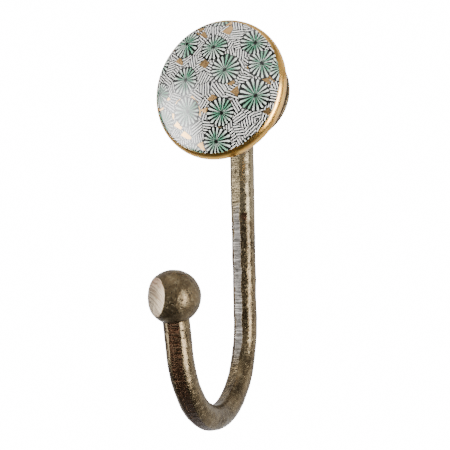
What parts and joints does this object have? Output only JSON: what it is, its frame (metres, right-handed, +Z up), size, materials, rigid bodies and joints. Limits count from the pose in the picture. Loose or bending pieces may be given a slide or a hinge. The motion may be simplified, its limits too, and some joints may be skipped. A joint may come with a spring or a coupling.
{
  "type": "wall hook",
  "caption": "Wall hook: a J-shaped bar with a ball tip on a round wall plate, its fixings hidden by a domed round disc that unscrews.",
  "frame": {"origin": "on the wall, on the axis of the stud that holds the disc", "axes": "+Z up, +Y into the wall, so the hook stands out towards -Y, and +X to the right as seen from the room"},
  "size_m": [0.05, 0.0671, 0.1396],
  "materials": {
    "plate_metal": "dark patina",
    "antique_metal": "antique brass patina, worn bright on the ground flats",
    "zinc_steel": "zinc plated",
    "black_rubber": "matt",
    "patterned_ceramic": "clear gloss glaze over a printed leaf pattern, gold lustre round the rim",
    "turned_brass": "turned",
    "pale_cement": "rough"
  },
  "bodies": {
    "hook": {"back_plate": "plate_metal", "hook_bar": "antique_metal", "ball_end": "antique_metal", "threaded_stud": "zinc_steel", "lock_washer": "zinc_steel", "lock_nut": "zinc_steel"},
    "collar": {"neck_collar": "antique_metal", "cushion_washer": "black_rubber"},
    "disc": {"ceramic_disc": "patterned_ceramic", "threaded_insert": "turned_brass", "cement_bed": "pale_cement"}
  },
  "joints": [
    {"name": "collar_travel", "type": "slide", "parent": "hook", "child": "collar", "axis": [0, -1, 0], "range_m": [0, 0.0064]},
    {"name": "disc_turn", "type": "hinge", "parent": "collar", "child": "disc", "pos_m": [0, 0, 0], "axis": [0, -1, 0], "range_deg": [0, 2880]}
  ],
  "couplings": [
    {"joint": "collar_travel", "follows": "disc_turn", "m_per_rad": 0.00012732}
  ]
}
